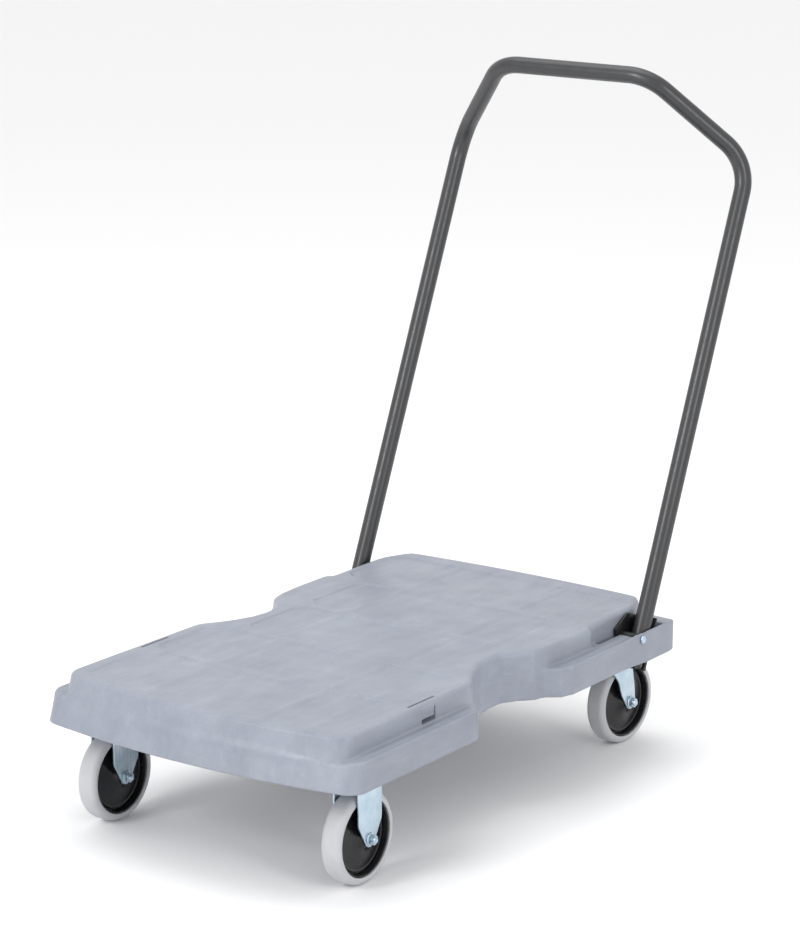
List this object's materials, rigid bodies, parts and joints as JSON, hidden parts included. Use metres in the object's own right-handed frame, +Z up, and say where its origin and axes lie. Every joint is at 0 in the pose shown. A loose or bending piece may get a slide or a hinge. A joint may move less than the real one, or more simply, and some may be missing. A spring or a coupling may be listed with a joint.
{
  "type": "folding platform cart",
  "caption": "Low moulded platform cart on two fixed and two swivel casters, with a bent-tube push handle that folds forward flat on to the deck.",
  "frame": {"origin": "centre of the bottom of the whole cart's bounding box, on the floor", "axes": "+Z up, +Y towards the handle end, +X to the right seen from behind the handle"},
  "size_m": [0.539, 1.0148, 0.9716],
  "materials": {
    "deck_plastic": "moulded structural foam, satin, faintly mottled",
    "tube_paint": "satin charcoal powder coat on steel tube",
    "black_fittings": "satin black paint",
    "zinc_plate": "bright bluish zinc plate",
    "hub_plastic": "satin black moulded plastic",
    "tyre_rubber": "smooth light grey non-marking rubber"
  },
  "bodies": {
    "deck": {"deck": "deck_plastic", "pivot_bolt_left": "zinc_plate", "pivot_nut_left": "zinc_plate", "pivot_bolt_right": "zinc_plate", "pivot_nut_right": "zinc_plate", "front_left_fork": "zinc_plate", "front_left_axle_sleeve": "zinc_plate", "front_left_axle_bolt": "zinc_plate", "front_left_axle_nut": "zinc_plate", "front_left_screw_1": "zinc_plate", "front_left_screw_2": "zinc_plate", "front_left_screw_3": "zinc_plate", "front_left_screw_4": "zinc_plate", "front_right_fork": "zinc_plate", "front_right_axle_sleeve": "zinc_plate", "front_right_axle_bolt": "zinc_plate", "front_right_axle_nut": "zinc_plate", "front_right_screw_1": "zinc_plate", "front_right_screw_2": "zinc_plate", "front_right_screw_3": "zinc_plate", "front_right_screw_4": "zinc_plate", "rear_left_plate": "zinc_plate", "rear_left_ball_race": "zinc_plate", "rear_left_kingpin": "zinc_plate", "rear_left_screw_1": "zinc_plate", "rear_left_screw_2": "zinc_plate", "rear_left_screw_3": "zinc_plate", "rear_left_screw_4": "zinc_plate", "rear_right_plate": "zinc_plate", "rear_right_ball_race": "zinc_plate", "rear_right_kingpin": "zinc_plate", "rear_right_screw_1": "zinc_plate", "rear_right_screw_2": "zinc_plate", "rear_right_screw_3": "zinc_plate", "rear_right_screw_4": "zinc_plate"},
    "handle": {"handle_tube": "tube_paint", "foot_plug_left": "black_fittings", "pivot_bracket_left": "black_fittings", "cross_rivet_left": "zinc_plate", "foot_plug_right": "black_fittings", "pivot_bracket_right": "black_fittings", "cross_rivet_right": "zinc_plate"},
    "front_left_wheel": {"front_left_tyre": "tyre_rubber", "front_left_hub": "hub_plastic"},
    "front_right_wheel": {"front_right_tyre": "tyre_rubber", "front_right_hub": "hub_plastic"},
    "rear_left_caster": {"rear_left_fork": "zinc_plate", "rear_left_axle_sleeve": "zinc_plate", "rear_left_axle_bolt": "zinc_plate", "rear_left_axle_nut": "zinc_plate"},
    "rear_left_wheel": {"rear_left_tyre": "tyre_rubber", "rear_left_hub": "hub_plastic"},
    "rear_right_caster": {"rear_right_fork": "zinc_plate", "rear_right_axle_sleeve": "zinc_plate", "rear_right_axle_bolt": "zinc_plate", "rear_right_axle_nut": "zinc_plate"},
    "rear_right_wheel": {"rear_right_tyre": "tyre_rubber", "rear_right_hub": "hub_plastic"},
    "left_plunger": {"detent_plunger_left": "zinc_plate"},
    "right_plunger": {"detent_plunger_right": "zinc_plate"}
  },
  "joints": [
    {"name": "handle_fold", "type": "hinge", "parent": "deck", "child": "handle", "pos_m": [0, 0.21052, 0.187], "axis": [1, 0, 0], "range_deg": [0, 113.2]},
    {"name": "front_left_roll", "type": "hinge", "parent": "deck", "child": "front_left_wheel", "pos_m": [-0.204, -0.40098, 0.0635], "axis": [1, 0, 0], "continuous": true},
    {"name": "front_right_roll", "type": "hinge", "parent": "deck", "child": "front_right_wheel", "pos_m": [0.204, -0.40098, 0.0635], "axis": [1, 0, 0], "continuous": true},
    {"name": "rear_left_swivel", "type": "hinge", "parent": "deck", "child": "rear_left_caster", "pos_m": [-0.1815, 0.24352, 0.15], "axis": [0, 0, 1], "continuous": true},
    {"name": "rear_left_roll", "type": "hinge", "parent": "rear_left_caster", "child": "rear_left_wheel", "pos_m": [-0.17806, 0.28287, 0.0635], "axis": [0.9962, -0.0872, 0], "continuous": true},
    {"name": "rear_right_swivel", "type": "hinge", "parent": "deck", "child": "rear_right_caster", "pos_m": [0.1815, 0.24352, 0.15], "axis": [0, 0, 1], "continuous": true},
    {"name": "rear_right_roll", "type": "hinge", "parent": "rear_right_caster", "child": "rear_right_wheel", "pos_m": [0.18494, 0.28287, 0.0635], "axis": [0.9962, -0.0872, 0], "continuous": true},
    {"name": "left_plunger_slide", "type": "slide", "parent": "deck", "child": "left_plunger", "axis": [1, 0, 0], "range_m": [0, 0.006], "stiffness_N_per_m": 400, "springref_m": -0.002},
    {"name": "right_plunger_slide", "type": "slide", "parent": "deck", "child": "right_plunger", "axis": [-1, 0, 0], "range_m": [0, 0.006], "stiffness_N_per_m": 400, "springref_m": -0.002}
  ]
}
